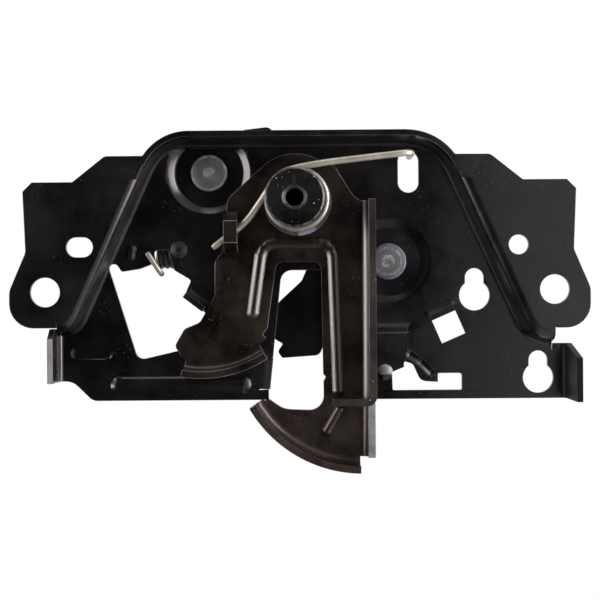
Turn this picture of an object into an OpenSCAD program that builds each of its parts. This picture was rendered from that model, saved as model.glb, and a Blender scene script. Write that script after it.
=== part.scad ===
// Bonnet latch: a pressed carrier plate with a claw and a pawl behind it and a safety catch in front.
// Front view: X runs right and Z up, and the front of the latch faces -Y.
// The origin lies midway between the two fixing holes, on the rear face of the wings.

/* [Carrier plate] */
// Thickness of the carrier's sheet
sheet_t = 2; // [1.6:0.1:2.4]
// Distance between the two fixing holes
hole_span = 176; // [172:1:182]
// Diameter of the fixing holes
fixing_d = 10.2; // [8:0.1:11]
// Radius of the lobe round each fixing hole
lobe_r = 12.4; // [11.6:0.2:13.4]
// Diameter of the round locating hole
locating_d = 6.8; // [6:0.1:8]
// Length of the locating slot
locating_slot_l = 9.2; // [8:0.1:11]
// Depth of the pan, from the wings' front face to the pan's front face
pan_depth = 9; // [8:0.5:10]
// Draft of the pan's walls
wall_draft = 12; // [8:1:14]
// Inside radius of the sheet's bends
bend_r = 1.5; // [1:0.1:1.8]
// Height of the wings above the fixing holes
wing_h = 38; // [36:0.5:40]
// Height of the step beside the pan
step_h = 46.9; // [45:0.1:48]
// Height of the pan's top corner line above the fixing holes
pan_top = 51.6; // [51:0.1:54]
// Depth of the pan's bottom edge below the fixing holes
pan_bottom = 38.2; // [37:0.1:40]
// Reach of the right side tab in front of the wings
right_tab_h = 12.8; // [9:0.1:16]
// Reach of the left side tab in front of the wings
left_tab_h = 6; // [3:0.1:10]
// Depth of the recessed pads round the rivets
pad_depth = 2; // [1.5:0.1:2.2]
// Height of the stiffening beads
bead_h = 1.1; // [0.7:0.1:1.2]

/* [Striker slot] */
// Width of the striker slot at its top
slot_w = 17; // [15:0.5:18]
// Height of the slot's top above the fixing holes
slot_top = 7.3; // [6:0.1:8]
// Diameter of the striker wire that the claw takes
striker_d = 9; // [8:0.1:9.6]

/* [Safety catch] */
// Thickness of the catch's sheet
catch_t = 2.5; // [2:0.1:2.8]
// Gap between the pan and the catch
catch_gap = 1.5; // [1.4:0.1:2]
// Reach of the catch's flanges in front of its plate
flange_h = 9; // [7:0.5:10]
// Inside radius of the flanges' bends
flange_r = 2.4; // [1.6:0.1:2.6]

/* [Bush] */
// Diameter of the bush's head
bush_d = 20.6; // [19.6:0.1:21.4]
// Diameter of the bush inside the spring
bush_body_d = 16.8; // [16.6:0.1:17.2]
// Diameter of the journal that carries the catch
journal_d = 16; // [14:0.1:16.4]
// Thickness of the bush's head
bush_head_t = 1.6; // [1.2:0.1:2.4]
// Diameter of the tapped hole
thread_d = 6.8; // [5:0.1:7.2]

/* [Claw and pawl] */
// Thickness of the claw and the pawl
claw_t = 4; // [3.4:0.1:4.4]
// Radius of the claw's rim that the pawl rides on
rim_r = 30; // [29:0.1:30.4]
// Turn of the claw from open to closed
claw_turn = 40; // [36:1:40]
// Diameter of the rivets' shanks
rivet_d = 10; // [8:0.1:10.6]
// Diameter of the rivets' front heads
rivet_head_d = 12.8; // [12:0.1:13.6]
// Thickness of the rivets' heads
rivet_head_t = 1.8; // [1.4:0.1:1.9]
// Diameter of the hole for the release cable
cable_hole_d = 4; // [3:0.1:4.4]

/* [Springs] */
// Wire of the catch spring
catch_wire_d = 2.3; // [2:0.05:2.4]
// Wire of the claw spring
claw_wire_d = 1.9; // [1.6:0.05:2]
// Outside diameter of the claw spring
claw_coil_d = 9; // [8:0.1:9.4]
// Wire of the pawl spring
pawl_wire_d = 1.4; // [1.2:0.05:1.6]

/* [Fits] */
// Running clearance of a bore on its journal, on the radius
run_fit = 0.05; // [0.03:0.01:0.08]
// Clearance between the faces of pieces that slide past each other
face_gap = 0.3; // [0.2:0.05:0.4]
// Clearance between a washer or a shoulder and the catch
catch_play = 0.1; // [0.05:0.01:0.15]

/* [Hidden] */
$fn = 64;
cut = 1;
arc_step = 12;

// Levels towards the front, measured from the rear face of the wings
wing_z = sheet_t;
pan_z = wing_z - pan_depth;
pan_rear = pan_z - sheet_t;
pad_z = pan_z - pad_depth;
pad_rear = pad_z - sheet_t;
catch_rear = pan_z + catch_gap;
catch_front = catch_rear + catch_t;
flange_z = catch_front + flange_h;
claw_front = pad_rear - face_gap;
claw_rear = claw_front - claw_t;

// Pivots in the front view
hole_x = hole_span / 2;
bush_at = [-1.6, 32.1];
claw_at = [31.1, 10.2];
pawl_at = [-31.7, 41.7];

// Plan of the pan: the slanted side walls lean out by wall_lean for each millimetre down
wall_lean = 0.453;
side_x = 47.9;
skirt_y = -18.6;
left_skirt_y = -14.9;
skirt_r = 12;
left_skirt_r = 9;
left_drop = lobe_r;
right_drop = lobe_r + 0.9;
left_corner_r = 15;
right_corner_r = 17;
left_step = 0.8;
right_step = -0.4;
wall_angle = atan(wall_lean);
wall_run = pan_depth * tan(wall_draft);
wall_skin = sheet_t / cos(wall_draft);
bend_reach = 4.5;
tab_right_x = hole_x + 5;
tab_left_x = hole_x - 3.6;
tab_lap = 0.2;
tab_gap = 0.3;
right_notch_x = hole_x + 0.2;
left_notch_x = tab_left_x - 0.4;

function unit(v) = v / norm(v);
function polar(c, r, a) = c + r * [cos(a), sin(a)];
function turned(p, c, a) = let (d = p - c)
    c + [d.x * cos(a) - d.y * sin(a), d.x * sin(a) + d.y * cos(a)];
function arc(c, r, a0, a1) = let (n = max(2, ceil(abs(a1 - a0) / arc_step)))
    [for (i = [0:n]) polar(c, r, a0 + (a1 - a0) * i / n)];

// One corner b of an outline between a and c, rounded to radius r
function corner(a, b, c, r) = r == 0 ? [b] : let (
    u = unit(a - b),
    w = unit(c - b),
    half = acos(u * w) / 2,
    centre = b + unit(u + w) * r / sin(half),
    from = b + u * r / tan(half) - centre,
    sweep = (cross(u, w) < 0 ? 1 : -1) * (180 - 2 * half),
    start = atan2(from.y, from.x))
    arc(centre, r, start, start + sweep);

// A closed outline from corners given as [x, y, radius]
function flat(p) = [p.x, p.y];
function sharp(pts) = [for (p = pts) [p.x, p.y, 0]];
function rounded(pts) = let (n = len(pts))
    [for (i = [0:n - 1]) let (a = pts[(i + n - 1) % n], b = pts[i], c = pts[(i + 1) % n])
        each corner(flat(a), flat(b), flat(c), b[2])];

// The circle through three points: its centre and radius
function circle_centre(a, b, c) = let (
    d = 2 * (a.x * (b.y - c.y) + b.x * (c.y - a.y) + c.x * (a.y - b.y)),
    ux = (a * a) * (b.y - c.y) + (b * b) * (c.y - a.y) + (c * c) * (a.y - b.y),
    uy = (a * a) * (c.x - b.x) + (b * b) * (a.x - c.x) + (c * c) * (b.x - a.x))
    [ux / d, uy / d];
function bearing(c, p) = atan2(p.y - c.y, p.x - c.x);

// A round wire swept along points, as rings of wire_sides corners
wire_sides = 8;
function forward(p, i) = unit(p[min(i + 1, len(p) - 1)] - p[max(i - 1, 0)]);
function square_to(t, hint) = unit(hint - (hint * t) * t);
function frames(p, i = 0, last = [0.31, 0.17, 0.93]) = i == len(p) ? [] :
    let (n = square_to(forward(p, i), last)) concat([n], frames(p, i + 1, n));
function smooth_path(p, n) = [for (i = [0:len(p) - 2]) for (k = [0:n - 1]) let (
    a = p[max(i - 1, 0)], b = p[i], c = p[i + 1], d = p[min(i + 2, len(p) - 1)], t = k / n)
    0.5 * (2 * b + (c - a) * t + (2 * a - 5 * b + 4 * c - d) * t * t
        + (3 * b - a - 3 * c + d) * t * t * t),
    p[len(p) - 1]];

module wire(p, d) {
    n = len(p);
    side = frames(p);
    ring = [for (i = [0:n - 1]) for (k = [0:wire_sides - 1]) let (a = 360 * k / wire_sides)
        p[i] + d / 2 * (cos(a) * side[i] + sin(a) * cross(forward(p, i), side[i]))];
    walls = [for (i = [0:n - 2]) for (k = [0:wire_sides - 1]) let (
        a = i * wire_sides + k, b = i * wire_sides + (k + 1) % wire_sides)
        each [[b, a, a + wire_sides], [b, a + wire_sides, b + wire_sides]]];
    first = [for (k = [0:wire_sides - 1]) k];
    end = [for (k = [wire_sides - 1:-1:0]) (n - 1) * wire_sides + k];
    polyhedron(ring, concat(walls, [first, end]));
}

// Turns the front view, with z towards the viewer, into the part's own frame
module front() rotate([90, 0, 0]) children();
module layer(z, t) translate([0, 0, z]) linear_extrude(t) children();
module at(p, z = 0) translate([p.x, p.y, z]) children();
module drill(p, d, z0, z1) at(p, z0) cylinder(d = d, h = z1 - z0);

// Runs a section (outwards, height) along a straight line, outwards being left of the way from p to q
module run(p, q, section) translate([p.x, p.y, 0]) rotate([0, 0, bearing(p, q) + 90]) rotate([90, 0, 0])
    linear_extrude(norm(q - p)) polygon(section);

// Turns a section (radius, height) about a centre, from angle a0 to a1
module sweep(c, a0, a1, section) translate([c.x, c.y, 0]) rotate([0, 0, a0])
    rotate_extrude(angle = a1 - a0) polygon(section);

// A pressed bead of round section along points, standing on level z: round caps and slimmer runs
bead_root = 0.3;
bead_slim = 0.96;
function bead_arc(w, h, a0) = let (r = (w * w / 4 + h * h) / (2 * h), c = [0, h - r])
    arc(c, r, bearing(c, [w / 2, 0]), a0 == 90 ? 90 : bearing(c, [-w / 2, 0]));
module bead(pts, w, h, z) {
    cap = [[0, -bead_root], [w / 2, -bead_root], each bead_arc(w, h, 90)];
    for (p = pts) at(p, z) rotate_extrude() polygon(cap);
    slim = w * bead_slim;
    for (i = [0:1:len(pts) - 2]) translate([0, 0, z]) run(pts[i], pts[i + 1],
        [[slim / 2, -bead_root], each bead_arc(slim, h * bead_slim, 180), [-slim / 2, -bead_root]]);
}

module sunk_bead(pts, w, h, z) translate([0, 0, z]) mirror([0, 0, 1]) bead(pts, w, h, 0);

// Sections of the sheet where it turns from the pan up to the wing, and up to the cut top edge.
// Straight runs are slimmer by e all round, and lap into the curves that they join.
run_slim = 0.02;
run_lap = 0.3;
rear_foot = wall_skin - sheet_t * tan(wall_draft);
rear_head = (pan_depth - sheet_t) * tan(wall_draft) + wall_skin;
function wall_section(e = 0) = rounded([[-bend_reach, pan_z - e, 0], [e, pan_z - e, bend_r],
    [wall_run + e, wing_z - e, bend_r + sheet_t], [wall_run + bend_reach, wing_z - e, 0],
    [wall_run + bend_reach, e, 0], [rear_head - e, e, bend_r],
    [rear_foot - e, pan_rear + e, bend_r + sheet_t], [-bend_reach, pan_rear + e, 0]]);
function rim_section(e = 0) = rounded([[-bend_reach, pan_z - e, 0], [e, pan_z - e, bend_r],
    [wall_run + e, wing_z - e, 0], [wall_run + wall_skin - e, wing_z - e, 0],
    [rear_foot - e, pan_rear + e, bend_r + sheet_t], [-bend_reach, pan_rear + e, 0]]);
module lapped(p, q, section) let (way = run_lap * unit(q - p)) run(p - way, q + way, section);
function shifted(section, r) = [for (p = section) [r + p.x, p.y]];
function flipped(section, r) = [for (p = section) [r - p.x, p.y]];

// The foot of the right wall at height y
function foot_x(y) = side_x + wall_lean * (pan_top - y);
lap = wall_run + 3.5;
rim_lap = 2.4;
rim_lap_from = 8;
function skirt_centre(sy, sr) = [foot_x(sy + sr) + sr / cos(wall_angle), sy + sr];
function rim_centre(r) = [foot_x(pan_top - r) - r / cos(wall_angle), pan_top - r];

// One side wall: straight from the rim's corner of radius cr, then curving out to the side tab
module side_wall(sy, sr, end_x, cr) {
    skirt = skirt_centre(sy, sr);
    rim = rim_centre(cr);
    lapped(polar(rim, cr, wall_angle), polar(skirt, sr, 180 + wall_angle), wall_section(run_slim));
    sweep(rim, wall_angle, 90, shifted(rim_section(), cr));
    sweep(skirt, 180 + wall_angle, 270, flipped(wall_section(), sr));
    run([skirt.x - run_lap, sy], [end_x, sy], wall_section(run_slim));
}

// The flat of one wing, with its stepped top and the lobe round the fixing hole
module wing(sy, sr, notch_x, drop, step) layer(0, sheet_t) polygon(rounded([
    [foot_x(step_h) + rim_lap / cos(wall_angle), step_h, 0], [66.4 + step, step_h, 3],
    [77.6 + step, wing_h, 1.5],
    [hole_x + 4.4, wing_h, 0.8], [hole_x + 7.6, wing_h - 3.2, 0.8], [hole_x + 6.7, 13.8, 4],
    [hole_x + lobe_r, 0.5, 6], [hole_x + lobe_r, -drop, lobe_r - 4], [notch_x, -drop, 0.8],
    [notch_x, sy + lap, 0],
    [foot_x(sy + lap) + lap / cos(wall_angle), sy + lap, sr - lap],
    [foot_x(step_h - rim_lap_from) + lap / cos(wall_angle), step_h - rim_lap_from, 0],
    [foot_x(step_h - rim_lap_from) + rim_lap / cos(wall_angle), step_h - rim_lap_from, 0]]));

// A side tab bent forward at x, trimmed to its own side profile (height, level)
module side_tab(x, top, y0, y1, profile) intersection() {
    run([x, y1], [x, y0], rounded([[-bend_reach, pan_z, 0], [0, pan_z, bend_r], [0, top, 0],
        [sheet_t, top, 0], [sheet_t, pan_rear, bend_r + sheet_t], [-bend_reach, pan_rear, 0]]));
    translate([x - 2 * bend_reach, 0, 0]) rotate([90, 0, 90])
        linear_extrude(4 * bend_reach) polygon(profile);
}

// The pan's floor: the foot of the walls above, the free bottom edge below
left_bottom = -31.3;
right_tab_z = wing_z + right_tab_h;
left_tab_z = wing_z + left_tab_h;
right_tab_top = skirt_y - tab_gap;
left_tab_top = -left_drop - tab_gap;
right_tab_slope = 4.4;
left_tab_slope = 3.3;
floor_in = 2.6;
floor_x = floor_in / cos(wall_angle);
floor_round = 1;
function pan_floor() = let (
    right_y = skirt_y - floor_in,
    left_y = left_skirt_y - floor_in,
    top = pan_top - floor_in)
    rounded([[-tab_left_x, left_bottom, 0], [-80, left_bottom, 6], [-73, -pan_bottom, 4],
        [tab_right_x, -pan_bottom, 0], [tab_right_x, right_y, 0],
        [foot_x(right_y) - floor_x, right_y, skirt_r + floor_in + floor_round],
        [foot_x(top) - floor_x, top, right_corner_r - floor_in - floor_round],
        [floor_x - foot_x(top), top, left_corner_r - floor_in - floor_round],
        [floor_x - foot_x(left_y), left_y, left_skirt_r + floor_in + floor_round],
        [-tab_left_x, left_y, 0]]);

// Striker slot, leaning a little to the right on its left side, and open at the bottom
slot_left = -6.4;
slot_lean = 0.104;
slot_corner = 4;
guide_top = -24;
guide_foot = -34.7;
guide_depth = 7;
guide_r = 3.2;
guide_reach = guide_r + 2.4;
function slot_edge(y) = slot_left - slot_lean * (slot_top - y);
function striker_slot() = rounded([
    [slot_edge(slot_top), slot_top, slot_corner],
    [slot_edge(guide_top), guide_top, 0],
    [slot_edge(guide_top) - guide_r - 1, guide_top, 0],
    [slot_edge(guide_foot) - guide_r - 1, guide_foot, 0],
    [slot_edge(-pan_bottom), guide_foot, 0],
    [slot_edge(-pan_bottom), -pan_bottom - cut, 0],
    [slot_left + slot_w, -pan_bottom - cut, 0],
    [slot_left + slot_w, slot_top, slot_corner]]);

// Left window, with a rounded notch, the spring's hooking notch and the edge that carries the stop
stop_from = [-40.7, -1.9];
stop_angle = -37.3;
stop_l = 8.4;
stop_z = catch_front + 3.4;
stop_bend = 2.2;
stop_fold = sheet_t + stop_bend + 0.4;
stop_reach = stop_fold + 1.4;
window_right = -31;
window = [[-66.8, 7.4, 0.6], [-67.2, 9.8, 1.4], [-64.4, 9.8, 1.6], [-62.6, 7.1, 1], [-56.1, 8.1, 3],
    [-50.6, 10.2, 0.4], [-51.4, 14.6, 1.2], [-46.2, 14.8, 1.5], [-44.2, 7.6, 2], [-38.2, 4, 1],
    [-39.4, 1.4, 1.5], [stop_from.x, stop_from.y, 0.8], [window_right, -9.3, 2], [window_right, -18, 3],
    [-57, -24, 3]];

// Lower right cut-out with its curved tongue, and the tilted square hole
cutout = [[32.2, -28.7, 0.3], [36.4, -27, 0.3], [36.4, -24.9, 0.6], [39.6, -26, 2], [42.2, -31.9, 3],
    [48.3, -32.3, 0.3], [48.3, -29.2, 0.5], [56.7, -29.2, 1], [56.7, -35.1, 0.5], [32.4, -35.1, 0.5]];
square_at = [52.2, -13];
square_size = [9, 8.8];
square_tilt = 23.4;
spring_slot = [38.3, 41.6];
spring_slot_l = 14.6;
spring_slot_w = 7.2;
locating_slot_w = 6.9;
keyholes = [[61.3, -1.9], [83.5, -31]];
keyhole_d = 10.7;
keyhole_neck = 6.6;
keyhole_rise = 6.2;
locating_y = 15.5;

// Recessed pads round the rivets
pad_flat = 11.6;
pad_slope = 3.8;
pad_wall = 0.8;
// Steps of the pads' slope, as shares of its width and of its height
pad_steps = [[0.21, 0.15], [0.68, 0.8]];
module pad_boss(p) at(p) rotate_extrude() polygon([[0, pad_rear], [pad_flat + pad_wall, pad_rear],
    [pad_flat + pad_wall + pad_slope, pan_rear],
    [pad_flat + pad_wall + pad_slope, pan_rear + sheet_t / 2],
    [0, pan_rear + sheet_t / 2]]);
module pad_recess(p) intersection() {
    at(p) rotate_extrude() polygon([[0, pad_z], [pad_flat, pad_z],
        for (s = pad_steps) [pad_flat + s[0] * pad_slope, pad_z + s[1] * pad_depth],
        [pad_flat + pad_slope, pan_z], [pad_flat + pad_slope, pan_z + cut], [0, pan_z + cut]]);
    translate([p.x - 2 * pad_flat, -pan_top, pad_z - cut])
        cube([4 * pad_flat, 2 * pan_top - bend_r, pad_depth + 3 * cut]);
}

// Beads pressed forward out of the pan, as [points, width]
bottom_bead = [[[-63.5, -32.8], [-20.5, -32.8]], 6.4];
dimples = [[[[-42.4, 14.7]], 6], [[[29.7, -28.7]], 5.6], [[[-58.9, 15.2], [-59.3, 12.4]], 3]];
lip_bead = [[[45.2, -8.2], [53, -4.6]], 2.6];
raised = concat([bottom_bead, lip_bead], dimples);
tongue_bead = [[[38.6, -22.6], [42.6, -25.4], [46, -29]], 3.4];
// Beads pressed back, as [points, width]
sunk = [[[[-78.6, -21.6], [-68, -21.6]], 6.4], [[[24, -13.4], [38, -13.4]], 5.2], tongue_bead];
groove = 0.75;

// Raised ring of the pan under the catch
ring_d = 23;

module through_pan() layer(pan_rear - 2 * cut, sheet_t + 4 * cut) children();

module base_plate() color([0.06, 0.06, 0.065]) front() {
    difference() {
        union() {
            layer(pan_rear, sheet_t) polygon(pan_floor());
            wing(skirt_y, skirt_r, right_notch_x, right_drop, right_step);
            mirror([1, 0, 0]) wing(left_skirt_y, left_skirt_r, left_notch_x, left_drop, left_step);
            side_wall(skirt_y, skirt_r, right_notch_x, right_corner_r);
            mirror([1, 0, 0])
                side_wall(left_skirt_y, left_skirt_r, left_notch_x + tab_lap, left_corner_r);
            lapped([-rim_centre(left_corner_r).x, pan_top],
                [rim_centre(right_corner_r).x, pan_top], rim_section(run_slim));
            side_tab(tab_right_x, right_tab_z, -pan_bottom, right_tab_top, [[-pan_bottom, pan_rear],
                [right_tab_top, pan_rear], [right_tab_top, pan_z + sheet_t],
                [right_tab_top - right_tab_slope, right_tab_z], [-pan_bottom, right_tab_z]]);
            mirror([1, 0, 0]) side_tab(tab_left_x, left_tab_z, left_bottom, left_tab_top, [
                [left_bottom, pan_rear], [left_tab_top, pan_rear], [left_tab_top, wing_z + 1],
                [left_tab_top - left_tab_slope, left_tab_z], [left_bottom, left_tab_z]]);
            pad_boss(claw_at);
            intersection() {
                pad_boss(pawl_at);
                translate([-hole_x, 0, 2 * pad_rear])
                    cube([hole_span, pan_top + wall_skin, -3 * pad_rear]);
            }
            for (b = raised) bead(b[0], b[1], bead_h, pan_z);
            for (b = sunk) sunk_bead(b[0], b[1], bead_h, pan_rear);
            drill(bush_at, ring_d, pan_rear, catch_rear - catch_play);
        }
        pad_recess(claw_at);
        pad_recess(pawl_at);
        for (b = raised) bead(b[0], b[1] * groove, bead_h * groove, pan_rear);
        for (b = sunk) sunk_bead(b[0], b[1] * groove, bead_h * groove, pan_z);
        through_pan() polygon(striker_slot());
        through_pan() polygon(rounded(window));
        through_pan() translate(stop_from) rotate(stop_angle) translate([0, -cut])
            square([stop_l, stop_fold + cut]);
        through_pan() polygon(rounded(cutout));
        through_pan() translate(square_at) rotate(square_tilt) square(square_size, center = true);
        for (x = [-hole_x, hole_x]) drill([x, 0], fixing_d, -cut, wing_z + cut);
        drill([hole_x - 12.4, locating_y], locating_d, -cut, wing_z + cut);
        long_hole([-hole_x + 12, locating_y], locating_slot_w, locating_slot_l, -cut, wing_z + cut, 0);
        long_hole(spring_slot, spring_slot_w, spring_slot_l, pan_rear - cut, pan_z + cut, 90);
        for (k = keyholes) {
            drill(k, keyhole_d, pan_rear - cut, pan_z + cut);
            drill([k.x, k.y + keyhole_rise], keyhole_neck, pan_rear - cut, pan_z + cut);
            through_pan() translate([k.x - keyhole_neck / 2, k.y]) square([keyhole_neck, keyhole_rise]);
        }
        drill(bush_at, spigot_d, pan_rear - cut, catch_rear);
        for (p = [claw_at, pawl_at]) drill(p, rivet_d, pad_rear - cut, pan_z);
    }
    run([slot_edge(guide_foot), guide_foot], [slot_edge(guide_top), guide_top], flipped(rounded([
        [-guide_reach, pan_z, 0], [0, pan_z, guide_r], [0, pan_rear - guide_depth, 0],
        [-sheet_t, pan_rear - guide_depth, 0], [-sheet_t, pan_rear, guide_r - sheet_t],
        [-guide_reach, pan_rear, 0]]), 0));
    run(polar(stop_from, stop_l, stop_angle), stop_from, rounded([
        [-stop_reach, pan_rear, 0], [0, pan_rear, stop_bend + sheet_t], [0, stop_z, 0],
        [-sheet_t, stop_z, 0], [-sheet_t, pan_z, stop_bend], [-stop_reach, pan_z, 0]]));
}

// A hole with round ends, l long and w wide, turned by a
module long_hole(p, w, l, z0, z1, a) at(p) rotate([0, 0, a]) {
    for (s = [-1, 1]) drill([s * (l - w) / 2, 0], w, z0, z1);
    translate([-(l - w) / 2, -w / 2, z0]) cube([l - w, w, z1 - z0]);
}

// Bush: riveted into the pan, with a journal for the catch, a body inside the spring and a head over it
spigot_d = 12;
peen_d = 16.4;
peen_t = 1.8;
bush_chamfer = 0.6;
washer_t = 0.6;
washer_w = 1.81;
washer_off = [1, -1.1];
washer_gap = norm(washer_off) + 0.1;
washer_d = bush_body_d + 2 * (washer_gap + washer_w);
shoulder_z = catch_front + catch_play;
washer_z = shoulder_z + washer_t;
coil_turns = 2;
coil_pitch = catch_wire_d + 0.1;
coil_off = [0.8, -0.4];
coil_play = norm(coil_off) + 0.25;
coil_r = bush_body_d / 2 + coil_play + catch_wire_d / 2;
coil_z0 = washer_z + catch_wire_d / 2;
coil_leave = 96.3;
coil_enter = 165;
coil_z1 = coil_z0 + coil_pitch * (coil_turns + (coil_enter - coil_leave) / 360);
head_z = coil_z1 + catch_wire_d / 2 + face_gap;
bush_z = head_z + bush_head_t;
thread_mouth = 1;

module catch_bush() color([0.13, 0.13, 0.14]) front() at(bush_at) difference() {
    rotate_extrude() polygon([[0, pan_rear - peen_t], [peen_d / 2 - bush_chamfer, pan_rear - peen_t],
        [peen_d / 2, pan_rear - peen_t + bush_chamfer], [peen_d / 2, pan_rear], [spigot_d / 2, pan_rear],
        [spigot_d / 2, catch_rear - catch_play], [journal_d / 2, catch_rear - catch_play],
        [journal_d / 2, shoulder_z], [bush_body_d / 2, shoulder_z], [bush_body_d / 2, head_z],
        [bush_d / 2, head_z],
        [bush_d / 2, bush_z - bush_chamfer], [bush_d / 2 - bush_chamfer, bush_z], [0, bush_z]]);
    translate([0, 0, pan_rear - peen_t - cut])
        cylinder(d = thread_d, h = bush_z - pan_rear + peen_t + 2 * cut);
    translate([0, 0, bush_z - thread_mouth])
        cylinder(d1 = thread_d, d2 = thread_d + 2 * (thread_mouth + cut), h = thread_mouth + cut);
}

module spring_washer() color([0.75, 0.78, 0.82]) front() at(bush_at + washer_off, shoulder_z)
    difference() {
        cylinder(d = washer_d, h = washer_t);
        translate([0, 0, -cut]) cylinder(d = bush_body_d + 2 * washer_gap, h = washer_t + 2 * cut);
    }

// Catch spring: lower arm under the catch's bridge, coil that hangs off centre, and upper arm
// hooked back through the pan's slot
arm_z = catch_front + catch_wire_d / 2 + 0.2;
lower_arm = [[-30.4, 15, arm_z], [-26.5, 18, arm_z], [-21.3, 21.8, arm_z],
    [-17.8, 24.8, (arm_z + coil_z0) / 2], [-14.3, 30, coil_z0]];
hook_x = spring_slot.x + 0.6;
hook_y = spring_slot.y + spring_slot_l / 2 - catch_wire_d / 2 - 0.5;
hook_back = 3.4;
coil_steps = 12;
function coil() = let (
    turn = coil_enter - coil_leave + 360 * coil_turns,
    n = ceil(turn / 360 * coil_steps))
    [for (i = [0:n])
        let (p = polar(bush_at + coil_off, coil_r, coil_enter - turn * i / n))
        [p.x, p.y, coil_z0 + (coil_z1 - coil_z0) * i / n]];
catch_wire = concat(lower_arm, coil(), smooth_path([
    [hook_x - 30, hook_y - 3.2, coil_z1], [hook_x - 5, hook_y - 0.4, coil_z1],
    [hook_x - 0.6, hook_y, coil_z1 - 2], [hook_x, hook_y, coil_z1 - 5],
    [hook_x, hook_y, pan_rear - hook_back]], 3));

module catch_spring() color([0.72, 0.7, 0.66]) front() wire(catch_wire, catch_wire_d);

// Safety catch: left leg with the finger flange, right leg with the hook below it
finger_a = [-41, -29.3];
finger_b = [-24.6, -28.9];
finger_c = [-11.3, -23.2];
finger_centre = circle_centre(finger_a, finger_b, finger_c);
finger_r = norm(finger_a - finger_centre);
finger_from = bearing(finger_centre, finger_a);
finger_to = bearing(finger_centre, finger_c);
hook_a = [-17.6, -40.4];
hook_b = [-0.8, -57];
hook_c = [20.6, -62.82];
hook_centre = circle_centre(hook_a, hook_b, hook_c);
hook_r = norm(hook_a - hook_centre);
hook_from = bearing(hook_centre, hook_a);
hook_to = bearing(hook_centre, hook_c);
leg_x = 26.2;
leg_top = 31.4;
strip_x = 25.8;
strip_top = -39;
strip_foot = -57.8;
strip_h = 5.5;
lip_y = -37.2;
lip_x = 11;
leg_foot = lip_y - catch_t / 2;
fold = catch_t + flange_r + 0.6;
inset = fold - 0.4;
end_turn = 1;
catch_top_r = 15.9;

// Section of a catch flange: flat part inwards, the bend and the upright, with its outer face at x
flange_rear = catch_rear + run_slim;
flange_front = catch_front - run_slim;
function flange_section(x, top) = rounded([
    [x - fold, flange_rear, 0], [x, flange_rear, flange_r + catch_t], [x, top, 0],
    [x - catch_t, top, 0], [x - catch_t, flange_front, flange_r], [x - fold, flange_front, 0]]);

module catch_plate() layer(catch_rear, catch_t) polygon(rounded(concat(
    sharp(arc(finger_centre, finger_r - inset, finger_from + end_turn, finger_to - end_turn)),
    [[-11.6, -16.4, 0.6], [-13.2, -15.2, 0.6], [-11.4, -13, 0.6], [-8.2, 10.1, 3],
        [7.4, 10.1, 3], [7.9, -29, 0], [8.8, -30, 0.4], [8, -31.6, 0], [8.1, -41.8, 5], [-6, -41.2, 8],
        [-11, -37.6, 1]],
    sharp(arc(hook_centre, hook_r - inset, hook_from + end_turn, hook_to - end_turn)),
    [[strip_x - inset, strip_foot, 0], [strip_x - inset, leg_foot, 0], [leg_x - inset, leg_foot, 0],
        [leg_x - inset, leg_top, 1], [18.6, 33.4, 2], [12.4, 43.4, 3]],
    sharp(arc(bush_at, catch_top_r, 60, 122)),
    [[-12.4, 43.8, 4], [-25, 32.4, 5], [-27.2, 13.6, 2], [-29.6, 10.4, 2], [-29.7, -1.6, 3],
        [-35, -10.8, 3], [-40.4, -13, 3], [-43.8, -19, 2], [-41.6, -22.4, 1]])));

// Bridge lanced forward over the spring's lower arm
bridge_x = [-26.4, -21.6];
bridge_y = [13.6, 27.6];
bridge_open = catch_wire_d + 0.6;
bridge_slope = 3.2;
bridge_t = 1.6;
bridge_slim = 0.6;
bridge_z = catch_front + bridge_open;
module bridge() translate([bridge_x[0], 0, 0]) rotate([90, 0, 90])
    linear_extrude(bridge_x[1] - bridge_x[0]) polygon([
        [bridge_y[0], catch_rear], [bridge_y[0], catch_front],
        [bridge_y[0] + bridge_slope, bridge_z + bridge_t],
        [bridge_y[1] - bridge_slope, bridge_z + bridge_t],
        [bridge_y[1], catch_front], [bridge_y[1], catch_rear],
        [bridge_y[1] - bridge_t, catch_rear], [bridge_y[1] - bridge_slope - bridge_slim, bridge_z],
        [bridge_y[0] + bridge_slope + bridge_slim, bridge_z], [bridge_y[0] + bridge_t, catch_rear]]);

// Ribs pressed forward out of the catch, as [points, width]
rib_h = 1.2;
rib_bend = 5;
rib_left = [-8.7, 11.6];
rib_right = [6.75, 11.6];
slot_rib = [concat([[-16.4, -7.4]], [for (a = [172, 145, 118, 90]) polar(rib_left, rib_bend, a)],
    [for (a = [90, 60, 31, 2]) polar(rib_right, rib_bend, a)], [[13.2, -35]]), 4.3];
hook_rib = [[[13.6, -41.4], [9.2, -49]], 3.6];
ribs = [slot_rib, hook_rib];

// What is taken off to round the corner where the leg's flange meets its lip
lip_r = 3.2;
module lip_corner() layer(catch_rear - cut, flange_z - catch_rear + 2 * cut) difference() {
    translate([leg_x - lip_r, lip_y - catch_t - cut]) square(lip_r + cut);
    translate([leg_x - lip_r, lip_y - catch_t + lip_r]) circle(lip_r + run_slim);
}

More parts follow.
